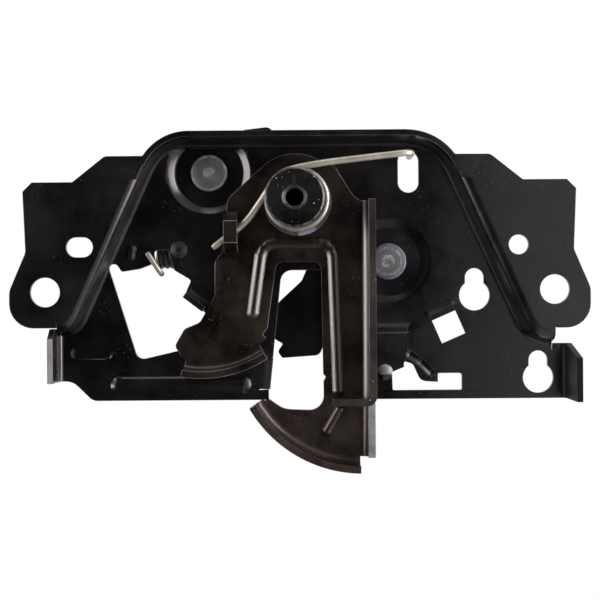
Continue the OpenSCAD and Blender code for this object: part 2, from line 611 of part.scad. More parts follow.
module safety_catch() color([0.085, 0.075, 0.07]) front() difference() {
    union() {
        difference() {
            catch_plate();
            translate([bridge_x[0], bridge_y[0] + 1, catch_rear - cut])
                cube([bridge_x[1] - bridge_x[0], bridge_y[1] - bridge_y[0] - 2, catch_t + 2 * cut]);
        }
        bridge();
        sweep(finger_centre, finger_from, finger_to, flange_section(finger_r, flange_z));
        sweep(hook_centre, hook_from, hook_to, flange_section(hook_r, flange_z));
        difference() {
            union() {
                run([0, leg_top], [0, leg_foot], flange_section(leg_x, flange_z));
                translate([lip_x, lip_y - catch_t, catch_rear])
                    cube([leg_x - lip_x, catch_t, flange_z - catch_rear]);
            }
            lip_corner();
        }
        run([0, strip_top], [0, strip_foot], flange_section(strip_x, catch_front + strip_h));
        for (b = ribs) bead(b[0], b[1], rib_h, catch_front);
    }
    for (b = ribs) bead(b[0], b[1] * groove, rib_h * groove, catch_rear);
    drill(bush_at, journal_d + 2 * run_fit, catch_rear - cut, catch_front + cut);
}

// Rivets: a front head in the pad, a shank that is the journal, and a formed head behind
rivet_rear_d = 15;
rivet_rear_t = 1.8;
dome_rise = 0.25;
module rivet(p, rear) front() at(p) rotate_extrude() polygon([[0, rear - rivet_rear_t],
    [rivet_rear_d / 2 - bush_chamfer, rear - rivet_rear_t],
    [rivet_rear_d / 2, rear - rivet_rear_t + bush_chamfer], [rivet_rear_d / 2, rear],
    [rivet_d / 2, rear], [rivet_d / 2, pad_z], [rivet_head_d / 2, pad_z],
    [rivet_head_d / 2, pad_z + rivet_head_t - bush_chamfer],
    [rivet_head_d / 2 - bush_chamfer, pad_z + rivet_head_t - dome_rise], [0, pad_z + rivet_head_t]]);

module claw_rivet() color([0.3, 0.3, 0.31]) rivet(claw_at, claw_rear - face_gap);

// Claw: rim for the pawl, locking notch, jaw across the striker slot, mouth for the striker and hook
rim_from = 126;
rim_to = 176;
notch_drop = 5;
mouth_r = striker_d / 2 + 0.4;
striker_home = [0, slot_top - striker_d / 2 - 4.8];
seat = turned(striker_home, claw_at, claw_turn);
mouth_way = 210;
mouth_l = 10.5;
function from_seat(along, across) = turned(seat + [along, across], seat, mouth_way);
spring_eye = polar(claw_at, 25, 168);
eye_d = claw_wire_d + 0.8;
function mouth(along, across, r) = let (p = from_seat(along, across)) [p.x, p.y, r];

module claw() color([0.11, 0.11, 0.115]) front() difference() {
    layer(claw_rear, claw_t) polygon(rounded(concat(
        sharp(arc(claw_at, rim_r, rim_from, rim_to)),
        sharp(arc(claw_at, rim_r - notch_drop, rim_to + 1, rim_to + 7)),
        [[2.2, slot_top, 0.5], [0.6, 3.6, 3], [-6.7, -3.1, 0], [-12, -8.6, 3], [-11, -15.6, 2],
            [-7.9, -17.7, 0.4], [-6.1, -18.6, 0.6], [-8, -21.4, 1.2], [-6.4, -23.7, 1],
            [6.8, -22.8, 2.5], mouth(4, -mouth_r, 2),
            mouth(-mouth_r, -mouth_r, mouth_r - 0.1), mouth(-mouth_r, mouth_r, mouth_r - 0.1),
            mouth(mouth_l, mouth_r, 1.2), mouth(mouth_l + 1, mouth_r + 5.4, 2),
            [24, -27.5, 8], [34, -9, 8], [43, 4, 8], [42.5, 19, 9], [25, 33.2, 4]])));
    drill(claw_at, rivet_d + 2 * run_fit, claw_rear - cut, claw_front + cut);
    drill(spring_eye, eye_d, claw_rear - cut, claw_front + cut);
}

// Claw spring: hooked in the window's notch, coiled behind the pan, and hooked to the claw from behind
claw_coil_r = (claw_coil_d - claw_wire_d) / 2;
claw_coil_z = pan_rear - face_gap - claw_coil_d / 2;
claw_coil_y = 12.4;
claw_coil_x = [-51, -22];
claw_pitch = claw_wire_d + 0.06;
claw_steps = 10;
function claw_coil() = let (n = floor((claw_coil_x[1] - claw_coil_x[0]) / claw_pitch) * claw_steps)
    [for (i = [0:n]) let (a = 270 - 360 * i / claw_steps) [claw_coil_x[0] + claw_pitch * i / claw_steps,
        claw_coil_y + claw_coil_r * sin(a), claw_coil_z + claw_coil_r * cos(a)]];
claw_end_z = pan_z + claw_wire_d / 2 + 0.1;
eye_z = claw_rear - claw_wire_d;
claw_wire = concat(
    smooth_path([[-53.6, 13.8, claw_end_z], [-52.3, 11.9, claw_end_z], [-49.8, 8, claw_end_z - 0.5],
        [-48.6, 6.4, pan_z - 1], [-49.2, 6.6, pan_rear - 1.4], claw_coil()[0]], 2),
    [for (i = [1:len(claw_coil()) - 1]) claw_coil()[i]],
    smooth_path([[claw_coil_x[1] + 2, spring_eye.y - 0.6, eye_z + 0.3],
        [spring_eye.x - 9, spring_eye.y, eye_z],
        [spring_eye.x - 2, spring_eye.y, eye_z], [spring_eye.x, spring_eye.y, claw_rear - 0.6],
        [spring_eye.x, spring_eye.y, claw_front - 0.2]], 2));

module claw_spring() color([0.6, 0.59, 0.57]) front() wire(claw_wire, claw_wire_d);

// Pawl: hub, nose that rides on the claw's rim, and cable arm that stands above the pan's top
pawl_coil_l = 3.6;
pawl_collar = claw_rear - face_gap - pawl_coil_l;
nose_gap = 0.35;
nose_from = 127.5;
nose_to = 135.5;
pawl_hub_d = 19;
cable_arm = [[-9.4, 58.4, 2.4], [-20, 57.2, 2.4]];
cable_hole = [-14.7, 54.2];
module pawl_rivet() color([0.3, 0.3, 0.31]) rivet(pawl_at, pawl_collar);

module pawl() color([0.12, 0.12, 0.125]) front() difference() {
    layer(claw_rear, claw_t) union() {
        translate(pawl_at) circle(d = pawl_hub_d);
        polygon(rounded(concat(
            sharp(arc(claw_at, rim_r + nose_gap, nose_to, nose_from)),
            [[13.4, 38, 1.5], [2, 42.4, 6], [-8.6, 45.6, 4]], cable_arm,
            [[-24.6, 50.6, 3], [-34, 50.8, 0], [-38.6, 36.2, 0], [-34, 32.6, 0], [-10, 28.2, 6],
                [2.4, 28.2, 3], [5.8, 30.6, 1]])));
    }
    drill(pawl_at, rivet_d + 2 * run_fit, claw_rear - cut, claw_front + cut);
    drill(cable_hole, cable_hole_d, claw_rear - cut, claw_front + cut);
}

// Pawl spring: coil on the rivet behind the pawl, with an arm on the left wall and one over the nose arm
pawl_spring_r = rivet_d / 2 + 0.3 + pawl_wire_d / 2;
pawl_spring_z = claw_rear - face_gap - pawl_wire_d / 2;
pawl_pitch = pawl_wire_d + 0.1;
pawl_steps = 12;
pawl_turns = 22 / pawl_steps;
function pawl_coil() = [for (i = [0:pawl_turns * pawl_steps])
    let (p = polar(pawl_at, pawl_spring_r, 90 - 360 * i / pawl_steps))
    [p.x, p.y, pawl_spring_z - pawl_pitch * i / pawl_steps]];
wall_leg_y = pawl_at.y - pawl_spring_r;
wall_leg_x = -foot_x(wall_leg_y) - wall_run - wall_skin - pawl_wire_d;
wall_leg_z = -4;
pawl_wire = concat(
    smooth_path([[-4, 45.3, claw_front], [-4, 45.3, claw_rear], [-8, 46.4, pawl_spring_z]], 2),
    pawl_coil(),
    smooth_path([[wall_leg_x + 8, wall_leg_y, pawl_spring_z - pawl_turns * pawl_pitch],
        [wall_leg_x, wall_leg_y, pawl_spring_z - pawl_pitch], [wall_leg_x, wall_leg_y, wall_leg_z]], 2));

module pawl_spring() color([0.6, 0.59, 0.57]) front() wire(pawl_wire, pawl_wire_d);

base_plate();
catch_bush();
spring_washer();
catch_spring();
safety_catch();
claw_rivet();
claw();
claw_spring();
pawl_rivet();
pawl();
pawl_spring();
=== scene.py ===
# %% [markdown]
# # Bonnet latch
# A bonnet latch is a stack of pressed steel: a dished plate, a hooked safety catch in front of it, and a
# claw and a pawl behind. The solids already have every form, so this lesson is about what a bare solid
# lacks: broken edges, round wire, a thread, and coats that have been handled.

# %% Load the frame
import math

import bpy
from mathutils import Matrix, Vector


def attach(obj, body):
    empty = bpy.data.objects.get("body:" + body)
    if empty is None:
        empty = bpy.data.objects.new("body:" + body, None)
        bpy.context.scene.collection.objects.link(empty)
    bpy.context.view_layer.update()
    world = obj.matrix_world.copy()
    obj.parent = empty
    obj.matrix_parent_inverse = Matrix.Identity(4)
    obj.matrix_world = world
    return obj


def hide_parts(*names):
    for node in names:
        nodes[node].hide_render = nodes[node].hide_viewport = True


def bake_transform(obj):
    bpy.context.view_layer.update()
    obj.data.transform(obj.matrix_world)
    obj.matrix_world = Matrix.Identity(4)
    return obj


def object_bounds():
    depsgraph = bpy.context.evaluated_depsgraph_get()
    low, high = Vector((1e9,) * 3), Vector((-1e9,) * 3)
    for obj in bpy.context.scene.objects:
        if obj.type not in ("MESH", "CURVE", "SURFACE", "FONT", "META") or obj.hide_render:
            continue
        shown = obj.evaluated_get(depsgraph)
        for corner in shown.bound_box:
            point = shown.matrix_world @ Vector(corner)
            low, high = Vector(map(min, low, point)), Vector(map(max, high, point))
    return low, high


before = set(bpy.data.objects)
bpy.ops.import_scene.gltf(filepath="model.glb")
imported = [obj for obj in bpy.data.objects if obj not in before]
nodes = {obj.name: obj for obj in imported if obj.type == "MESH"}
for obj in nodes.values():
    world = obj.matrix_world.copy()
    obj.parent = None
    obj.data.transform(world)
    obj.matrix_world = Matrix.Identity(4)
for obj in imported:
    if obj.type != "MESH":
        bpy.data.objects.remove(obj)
cad_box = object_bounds()
MM = 0.001

# %% [markdown]
# The camera stands half a metre in front, square to the plate and almost level with the fixing holes. A wide
# lens close by would show the sides of every flange, so a long lens keeps the perspective as flat as a
# catalogue picture's. A slight roll copies how the part was laid.

# %% Camera
CAMERA_DISTANCE = 492 * MM
CAMERA_HEIGHT = -3.19 * MM
VIEW_WIDTH = 207 * MM
VIEW_DISTANCE = 490 * MM
SENSOR_MM = 36
ROLL_DEG = 0.393

scene = bpy.context.scene
bpy.ops.object.select_all(action="DESELECT")
bpy.ops.object.camera_add(location=(0, -CAMERA_DISTANCE, CAMERA_HEIGHT))
camera = bpy.context.object
camera.rotation_euler = (math.pi / 2, math.radians(ROLL_DEG), 0)
camera.data.sensor_width = SENSOR_MM
camera.data.lens = SENSOR_MM * VIEW_DISTANCE / VIEW_WIDTH
scene.camera = camera
print("lens", round(camera.data.lens, 1), "mm")

# %% [markdown]
# Black coats show only what they mirror, so the room matters more than the lamps. It is white all round, on a
# pale floor. A single bright background would light the part too flatly, so the Light Path node splits it:
# the eye and mirrors see pure white, and all other light gets a softer level.

# %% Room and floor
FLOOR_DROP = 180 * MM
FLOOR_SIZE = 6
ROOM_LEVEL = 0.55
WHITE = (1, 1, 1, 1)
FLOOR_GREY = (0.82, 0.82, 0.82, 1)


def white_for_the_eye(tree, plain_shader, white_shader):
    """white_shader where the camera, a mirror or a glass looks, and plain_shader for all other light."""
    path = tree.nodes.new("ShaderNodeLightPath")
    eye = tree.nodes.new("ShaderNodeMath")
    eye.operation = "MAXIMUM"
    tree.links.new(path.outputs["Is Camera Ray"], eye.inputs[0])
    tree.links.new(path.outputs["Is Glossy Ray"], eye.inputs[1])
    seen = tree.nodes.new("ShaderNodeMath")
    seen.operation = "MAXIMUM"
    tree.links.new(eye.outputs[0], seen.inputs[0])
    tree.links.new(path.outputs["Is Transmission Ray"], seen.inputs[1])
    mix = tree.nodes.new("ShaderNodeMixShader")
    tree.links.new(seen.outputs[0], mix.inputs["Fac"])
    tree.links.new(plain_shader.outputs[0], mix.inputs[1])
    tree.links.new(white_shader.outputs[0], mix.inputs[2])
    return mix.outputs[0]


scene.view_settings.view_transform = "Standard"
world = bpy.data.worlds.new("white_room")
scene.world = world
world.use_nodes = True
room = world.node_tree
room.nodes.clear()
room_light = room.nodes.new("ShaderNodeBackground")
room_light.inputs["Color"].default_value = WHITE
room_light.inputs["Strength"].default_value = ROOM_LEVEL
room_seen = room.nodes.new("ShaderNodeBackground")
room_seen.inputs["Color"].default_value = WHITE
room_out = room.nodes.new("ShaderNodeOutputWorld")
room.links.new(white_for_the_eye(room, room_light, room_seen), room_out.inputs["Surface"])

floor_z = cad_box[0][2] - FLOOR_DROP
bpy.ops.mesh.primitive_plane_add(size=FLOOR_SIZE, location=(0, 0, floor_z))
floor = bpy.context.object
floor.name = "floor"
floor_finish = bpy.data.materials.new("pale_floor")
floor_finish.use_nodes = True
tree = floor_finish.node_tree
tree.nodes.clear()
pale = tree.nodes.new("ShaderNodeBsdfDiffuse")
pale.inputs["Color"].default_value = FLOOR_GREY
glow = tree.nodes.new("ShaderNodeEmission")
floor_out = tree.nodes.new("ShaderNodeOutputMaterial")
tree.links.new(white_for_the_eye(tree, pale, glow), floor_out.inputs["Surface"])
floor.data.materials.append(floor_finish)
print("floor at", round(floor_z, 3))

# %% [markdown]
# A white room alone would turn every flat face grey. Photographers hold up black cards: one behind the camera
# keeps the flat faces black, and it stops short on the right, where the plate looks greyer. A second one lies
# low on the left and keeps the undersides of the beads dark. Only mirrors see the cards.

# %% Dark cards
FRONT_CARD_Y = -0.52
LOW_CARD_Z = -0.2
CARD_GREY = (0.012, 0.012, 0.013, 1)
CARDS = {
    "front_card": [(-0.6, FRONT_CARD_Y, -0.6), (0.12, FRONT_CARD_Y, -0.17),
                   (0.165, FRONT_CARD_Y, 0.9), (-0.6, FRONT_CARD_Y, 0.9)],
    "low_card": [(-0.6, -0.5, LOW_CARD_Z), (-0.01, -0.5, LOW_CARD_Z),
                 (-0.01, 0.1, LOW_CARD_Z), (-0.6, 0.1, LOW_CARD_Z)],
}

card_finish = bpy.data.materials.new("dark_card_paper")
card_finish.use_nodes = True
card_paper = card_finish.node_tree.nodes["Principled BSDF"]
card_paper.inputs["Base Color"].default_value = CARD_GREY
card_paper.inputs["Roughness"].default_value = 1
card_paper.inputs["Specular IOR Level"].default_value = 0
for name, corners in CARDS.items():
    bpy.ops.object.select_all(action="DESELECT")
    bpy.ops.mesh.primitive_circle_add(vertices=len(corners), fill_type="NGON")
    card = bpy.context.object
    card.name = name
    for vertex, corner in zip(card.data.vertices, corners):
        vertex.co = corner
    card.data.materials.append(card_finish)
    card.visible_camera = False
    card.visible_shadow = False
    card.visible_diffuse = False
print("cards", sorted(CARDS))

# %% [markdown]
# The bright lines along ribs and bends are mirrored soft boxes. Point lamps would leave hard dots there, so
# wide area lamps stand at both sides, and weak ones above and below fill what those don't reach.

# %% Soft boxes
# Place in metres, width and height in metres, and watts
SOFT_BOXES = {
    "left_box": ((-0.62, -0.24, 0.1), (0.36, 0.8), 10),
    "right_box": ((0.62, -0.2, 0.06), (0.42, 0.8), 18),
    "top_box": ((0.05, -0.04, 0.62), (0.7, 0.24), 1.5),
    "low_box": ((0.1, -0.3, -0.6), (0.5, 0.15), 2),
}
for name, (place, size, watts) in SOFT_BOXES.items():
    bpy.ops.object.light_add(type="AREA", location=place)
    lamp = bpy.context.object
    lamp.name = name
    lamp.data.shape = "RECTANGLE"
    lamp.data.size, lamp.data.size_y = size
    lamp.data.energy = watts
    lamp.rotation_euler = (-lamp.location).to_track_quat("-Z", "Y").to_euler()
print("soft boxes", sorted(SOFT_BOXES))

# %% [markdown]
# Dip-coated steel isn't flat black. Its film is slightly pebbled, its gloss changes where hands and oil have
# been, it is scuffed, and dust sits on it. Each finish could hold its own noise nodes, but they all need the
# same four effects. So four groups make these once, and each finish sets how much of each it has. First come
# small helpers that add one node and link it.

# %% Helpers for node trees
def group_with(name, inputs, outputs):
    """An empty shader group with named float inputs and outputs, and its two end nodes."""
    group = bpy.data.node_groups.new(name, "ShaderNodeTree")
    group.interface.new_socket("Vector", in_out="INPUT", socket_type="NodeSocketVector")
    for label, value in inputs:
        socket = group.interface.new_socket(label, in_out="INPUT", socket_type="NodeSocketFloat")
        socket.default_value = value
    for label in outputs:
        group.interface.new_socket(label, in_out="OUTPUT", socket_type="NodeSocketFloat")
    return group, group.nodes.new("NodeGroupInput"), group.nodes.new("NodeGroupOutput")


def feed(tree, socket, value):
    """Sets a socket to a number, or links another node's output to it."""
    if isinstance(value, (int, float)):
        socket.default_value = value
    else:
        tree.links.new(value, socket)


def noise(tree, vector, scale, detail, rough=0.55):
    node = tree.nodes.new("ShaderNodeTexNoise")
    tree.links.new(vector, node.inputs["Vector"])
    feed(tree, node.inputs["Scale"], scale)
    node.inputs["Detail"].default_value = detail
    node.inputs["Roughness"].default_value = rough
    return node.outputs["Fac"]


def remap(tree, value, low, high, to_low, to_high):
    node = tree.nodes.new("ShaderNodeMapRange")
    tree.links.new(value, node.inputs["Value"])
    for label, number in (("From Min", low), ("From Max", high), ("To Min", to_low), ("To Max", to_high)):
        feed(tree, node.inputs[label], number)
    return node.outputs["Result"]


def combine(tree, operation, a, b=0):
    node = tree.nodes.new("ShaderNodeMath")
    node.operation = operation
    feed(tree, node.inputs[0], a)
    feed(tree, node.inputs[1], b)
    return node.outputs[0]


print("helpers ready")

# %% Film: fine pebbles as a height, and blotches as a gloss change
BLOTCH_BAND = (0.38, 0.62)
GLOSS_BAND = (0.3, 0.7)
film, start, end = group_with(
    "coat_film",
    [("Pebble scale", 900), ("Blotch scale", 60), ("Rough low", 0.3), ("Rough high", 0.5)],
    ["Height", "Roughness", "Blotch"])
pebbles = noise(film, start.outputs["Vector"], start.outputs["Pebble scale"], 2)
blotch = noise(film, start.outputs["Vector"], start.outputs["Blotch scale"], 5, 0.65)
gloss = remap(film, blotch, *GLOSS_BAND, start.outputs["Rough low"], start.outputs["Rough high"])
film.links.new(pebbles, end.inputs["Height"])
film.links.new(remap(film, blotch, *BLOTCH_BAND, 0, 1), end.inputs["Blotch"])
film.links.new(gloss, end.inputs["Roughness"])
print("group", film.name)

# %% Dust: small specks, thicker where a broad noise is high
SPECK_BAND = (0.1, 0.2)
PATCH_BAND = (0.5, 0.68)
PATCH_SCALE = 90
dust, start, end = group_with("dust_specks", [("Scale", 700), ("Amount", 0.5)], ["Mask"])
cells = dust.nodes.new("ShaderNodeTexVoronoi")
dust.links.new(start.outputs["Vector"], cells.inputs["Vector"])
dust.links.new(start.outputs["Scale"], cells.inputs["Scale"])
specks = remap(dust, cells.outputs["Distance"], *SPECK_BAND, 1, 0)
patches = noise(dust, start.outputs["Vector"], PATCH_SCALE, 4)
patchy = remap(dust, patches, *PATCH_BAND, 0, start.outputs["Amount"])
dust.links.new(combine(dust, "MULTIPLY", specks, patchy), end.inputs["Mask"])
print("group", dust.name)

# %% Scuffs: stretched streaks where the film is rubbed
STREAK_BAND = (0.6, 0.74)
STREAK_STRETCH = (1, 1, 0.12)
STREAK_LEAN_DEG = 35
scuff, start, end = group_with("scuffs", [("Scale", 160), ("Amount", 0.4)], ["Mask"])
stretch = scuff.nodes.new("ShaderNodeMapping")
stretch.inputs["Scale"].default_value = STREAK_STRETCH
stretch.inputs["Rotation"].default_value = (0, math.radians(STREAK_LEAN_DEG), 0)
scuff.links.new(start.outputs["Vector"], stretch.inputs["Vector"])
streaks = noise(scuff, stretch.outputs["Vector"], start.outputs["Scale"], 6, 0.7)
scuff.links.new(remap(scuff, streaks, *STREAK_BAND, 0, start.outputs["Amount"]), end.inputs["Mask"])
print("group", scuff.name)

# %% Ring: a broken circular mark about an axis along Y, for rims, stamped heads and painted highlights
GAP_BAND = (0.4, 0.62)
ring, start, end = group_with(
    "ring_mark",
    [("Centre X", 0), ("Centre Z", 0), ("Inner", 1 * MM), ("Outer", 2 * MM), ("Soft", 0.3 * MM),
     ("Scale", 500), ("Gaps", 1)],
    ["Mask"])
split = ring.nodes.new("ShaderNodeSeparateXYZ")
ring.links.new(start.outputs["Vector"], split.inputs[0])
across = combine(ring, "SUBTRACT", split.outputs["X"], start.outputs["Centre X"])
upward = combine(ring, "SUBTRACT", split.outputs["Z"], start.outputs["Centre Z"])
across_squared = combine(ring, "MULTIPLY", across, across)
upward_squared = combine(ring, "MULTIPLY", upward, upward)
radius = combine(ring, "SQRT", combine(ring, "ADD", across_squared, upward_squared))
inside = combine(ring, "SUBTRACT", start.outputs["Inner"], start.outputs["Soft"])
outside = combine(ring, "ADD", start.outputs["Outer"], start.outputs["Soft"])
rising = remap(ring, radius, inside, start.outputs["Inner"], 0, 1)
falling = remap(ring, radius, start.outputs["Outer"], outside, 1, 0)
band = combine(ring, "MULTIPLY", rising, falling)
worn = noise(ring, start.outputs["Vector"], start.outputs["Scale"], 4, 0.7)
kept = combine(ring, "SUBTRACT", 1, remap(ring, worn, *GAP_BAND, start.outputs["Gaps"], 0))
ring.links.new(combine(ring, "MULTIPLY", band, kept), end.inputs["Mask"])
print("group", ring.name)

# %% [markdown]
# Every finish on the latch is one coat seen in different states, so one function makes them all: two tones
# that blotches mix, a third where it is scuffed, dust on top, and rings for marks where something turned or
# was stamped and for crescents of painted highlight. The pebbles go to a Bump node, because they are far
# finer than any mesh could carry.

# %% A finish from the groups
DUST = (0.2, 0.19, 0.2)
BUMP_HEIGHT = 0.2 * MM
MIX_UNDER, MIX_OVER, MIX_RESULT = 6, 7, 2


def finish(name, base, blotched, rubbed, rough, metal=0.0, dusty=0.3, scuffed=0.3, pebble=0.04,
           pebble_scale=900, specular=0.5, gleam=(1, 1, 1), rings=()):
    """A coat: base and blotched are its tones, rubbed the tone of its scuffs, rough its range of gloss.

    Each ring has its centre's x and z, its inner and outer radius in mm, how broken it is, and its colour.
    """
    material = bpy.data.materials.new(name)
    material.use_nodes = True
    tree = material.node_tree
    shader = tree.nodes["Principled BSDF"]
    shader.inputs["Metallic"].default_value = metal
    shader.inputs["Specular IOR Level"].default_value = specular
    shader.inputs["Specular Tint"].default_value = (*gleam, 1)
    place = tree.nodes.new("ShaderNodeTexCoord").outputs["Object"]

    def use(group, **values):
        node = tree.nodes.new("ShaderNodeGroup")
        node.node_tree = group
        tree.links.new(place, node.inputs["Vector"])
        for label, value in values.items():
            node.inputs[label.replace("_", " ")].default_value = value
        return node

    def tint(mask, under, over):
        node = tree.nodes.new("ShaderNodeMix")
        node.data_type = "RGBA"
        tree.links.new(mask, node.inputs["Factor"])
        for socket, colour in ((node.inputs[MIX_UNDER], under), (node.inputs[MIX_OVER], over)):
            if isinstance(colour, tuple):
                socket.default_value = (*colour, 1)
            else:
                tree.links.new(colour, socket)
        return node.outputs[MIX_RESULT]

    skin = use(film, Pebble_scale=pebble_scale, Rough_low=rough[0], Rough_high=rough[1])
    colour = tint(skin.outputs["Blotch"], base, blotched)
    colour = tint(use(scuff, Amount=scuffed).outputs["Mask"], colour, rubbed)
    colour = tint(use(dust, Amount=dusty).outputs["Mask"], colour, DUST)
    for centre, inner, outer, gaps, marked in rings:
        mark = use(ring, Centre_X=centre[0] * MM, Centre_Z=centre[1] * MM,
                   Inner=inner * MM, Outer=outer * MM, Gaps=gaps)
        colour = tint(mark.outputs["Mask"], colour, marked)
    tree.links.new(colour, shader.inputs["Base Color"])
    tree.links.new(skin.outputs["Roughness"], shader.inputs["Roughness"])
    bump = tree.nodes.new("ShaderNodeBump")
    bump.inputs["Strength"].default_value = pebble
    bump.inputs["Distance"].default_value = BUMP_HEIGHT
    tree.links.new(skin.outputs["Height"], bump.inputs["Height"])
    tree.links.new(bump.outputs["Normal"], shader.inputs["Normal"])
    return material


print("finish maker ready")

# %% [markdown]
# The plate's coat is a cold black and shines faintly lilac. Its steep walls are duller, and lighter as
# painted sheen. The guide by the striker slot and the right tab take a darker, duller copy as painted shade.
# Its cut edges are grey, and where hands rub, the steel is almost bare; on the dome that bare finish is a
# painted highlight.

# %% Finishes of the plate
LILAC = (1, 0.92, 0.97)
plate_coat = finish("plate_coat", (0.0012, 0.001, 0.0012), (0.0034, 0.0029, 0.0033), (0.012, 0.0105, 0.012),
                    (0.17, 0.29), dusty=0.12, scuffed=0.2, specular=0.44, gleam=LILAC)
# Painted sheen: the steep walls take a lighter colour than the flat coat; their dullness is roughness.
plate_wall_painted_sheen = finish("plate_wall_painted_sheen", (0.003, 0.0026, 0.003), (0.0075, 0.0066, 0.0075), (0.03, 0.027, 0.03),
                    (0.4, 0.52), dusty=0.15, scuffed=0.3, pebble=0.1, specular=0.2, gleam=LILAC)
# Painted shade: a darker, duller copy of the coat for the guide and the right tab.
plate_painted_shade = finish("plate_painted_shade", (0.0012, 0.0011, 0.0012), (0.004, 0.0037, 0.004), (0.03, 0.028, 0.03),
                     (0.5, 0.6), dusty=0.1, scuffed=0.3, pebble=0.1, specular=0.1, gleam=LILAC)
plate_edge = finish("plate_edge", (0.014, 0.0132, 0.0142), (0.04, 0.038, 0.0405), (0.13, 0.126, 0.131),
                    (0.35, 0.5), metal=0.3, dusty=0.2, scuffed=0.6)
# Bare steel on worn cut edges; on the dome the same pale finish is a painted highlight.
bare_edge_and_painted_highlight = finish("bare_edge_and_painted_highlight", (0.06, 0.056, 0.06), (0.15, 0.142, 0.15), (0.27, 0.26, 0.27),
                   (0.4, 0.55), metal=0.2, dusty=0.1, scuffed=0.5, pebble=0.25)
print("plate", [m.name for m in (plate_coat, plate_wall_painted_sheen, plate_painted_shade, plate_edge, bare_edge_and_painted_highlight)])

# %% [markdown]
# The catch was dipped in another bath and is a warm brown-black. A tinted specular gives that warmth to what
# it mirrors, which a brown base colour alone wouldn't. Its hook is dusty, and its ribs are rubbed smooth. The
# claw and the pawl are oiled and darker than both.

# %% Finishes of the catch, the claw and the pawl
BROWN = (1, 0.84, 0.77)
PALE_BROWN = (1, 0.94, 0.92)
catch_coat = finish("catch_coat", (0.0011, 0.0006, 0.0004), (0.006, 0.0038, 0.0028), (0.02, 0.0155, 0.013),
                    (0.2, 0.4), dusty=0.2, scuffed=0.3, pebble=0.07, specular=0.44, gleam=BROWN)
catch_rib = finish("catch_rib", (0.0015, 0.0009, 0.0007), (0.006, 0.0042, 0.0034), (0.04, 0.034, 0.031),
                   (0.35, 0.46), dusty=0.2, scuffed=0.4, pebble=0.1, specular=1, gleam=PALE_BROWN)
catch_dusty = finish("catch_dusty", (0.0055, 0.0034, 0.0028), (0.0165, 0.0112, 0.0098),
                     (0.03, 0.024, 0.021), (0.25, 0.4), dusty=0.4, scuffed=0.3, pebble=0.07,
                     specular=0.44, gleam=BROWN)
catch_line = finish("catch_line", (0.03, 0.027, 0.025), (0.1, 0.094, 0.09), (0.3, 0.29, 0.28),
                    (0.3, 0.45), metal=0.3, dusty=0.2, scuffed=0.6)
catch_edge = finish("catch_edge", (0.0015, 0.001, 0.0008), (0.009, 0.0072, 0.0064), (0.085, 0.08, 0.075),
                    (0.4, 0.55), dusty=1.5, scuffed=0.6, pebble=0.25, specular=0.3, gleam=BROWN)
# The claw's coat; on the plate it also darkens the pad's walls as painted shade.
claw_coat_and_painted_shade = finish("claw_coat_and_painted_shade", (0.0008, 0.0007, 0.0008), (0.0022, 0.002, 0.0022), (0.02, 0.02, 0.02),
                   (0.25, 0.4), dusty=0.15, scuffed=0.2, specular=0.25)
print("catch", [m.name for m in (catch_coat, catch_rib, catch_dusty, catch_line, catch_edge, claw_coat_and_painted_shade)])

# %% [markdown]
# The bush, the rivets and the washer are round, and so are their marks: a worn rim, a tool's mark in the
# middle of each head, and a bluish crescent on the washer and the right rivet, which is a painted highlight.
# The washer's dark base is painted shade as well. Painted textures could show these, but the ring group needs
# only a centre and two radii. The springs are bare wire; behind the plate they take a darker copy, partly
# darker steel and partly painted shade.

# %% Finishes of the turned pieces and the springs
# Centres in the front view, x and z in mm
BUSH_AT, CLAW_AT, PAWL_AT = (-1.6, 32.1), (31.1, 10.2), (-31.7, 41.7)
# The crescents on the right rivet and the washer are painted highlights.
CLAW_PAINTED_HIGHLIGHT_AT = (CLAW_AT[0] - 1.2, CLAW_AT[1])
WASHER_PAINTED_HIGHLIGHT_AT = (3, 19.7)
RIVET = dict(base=(0.028, 0.0265, 0.029), blotched=(0.062, 0.059, 0.064), rubbed=(0.14, 0.134, 0.142),
             rough=(0.38, 0.55), metal=0.3, scuffed=0.5, pebble=0.45, pebble_scale=1400)
bush_coat = finish("bush_coat", (0.0008, 0.0007, 0.0007), (0.004, 0.0038, 0.0036), (0.05, 0.048, 0.046),
                   (0.22, 0.36), scuffed=0.8, dusty=2.5, specular=0.25, rings=[
                       (BUSH_AT, 9.8, 10.4, 1, (0.045, 0.043, 0.039)),
                       (BUSH_AT, 3.4, 3.9, 1, (0.03, 0.029, 0.027))])
bush_worn = finish("bush_worn", (0.02, 0.019, 0.018), (0.06, 0.057, 0.053), (0.2, 0.19, 0.18),
                   (0.28, 0.4), metal=0.5, scuffed=0.6)
pawl_rivet_steel = finish("pawl_rivet_steel", **RIVET, rings=[
    (PAWL_AT, 0, 2, 1, (0.12, 0.116, 0.12)),
    (PAWL_AT, 5.6, 6.3, 0.8, (0.13, 0.126, 0.133))])
claw_rivet_steel = finish("claw_rivet_steel", **RIVET, rings=[
    (CLAW_AT, 0, 2.2, 1, (0.2, 0.195, 0.2)),
    (CLAW_AT, 4.4, 5, 1, (0.16, 0.156, 0.164)),
    # Painted highlight: a bluish crescent, offset to one side of the rivet.
    (CLAW_PAINTED_HIGHLIGHT_AT, 6.2, 7.6, 0.7, (0.07, 0.08, 0.105))])
spring_wire = finish("spring_wire", (0.13, 0.115, 0.095), (0.27, 0.245, 0.21), (0.42, 0.39, 0.34),
                     (0.26, 0.42), metal=0.6, dusty=0.1, scuffed=0.4)
# Painted shade: the wire's darker copy behind the plate, partly darker steel as well.
wire_painted_shade = finish("wire_painted_shade", (0.012, 0.0105, 0.009), (0.035, 0.031, 0.027), (0.12, 0.11, 0.1),
                   (0.28, 0.42), metal=0.4, dusty=0.1, scuffed=0.4)
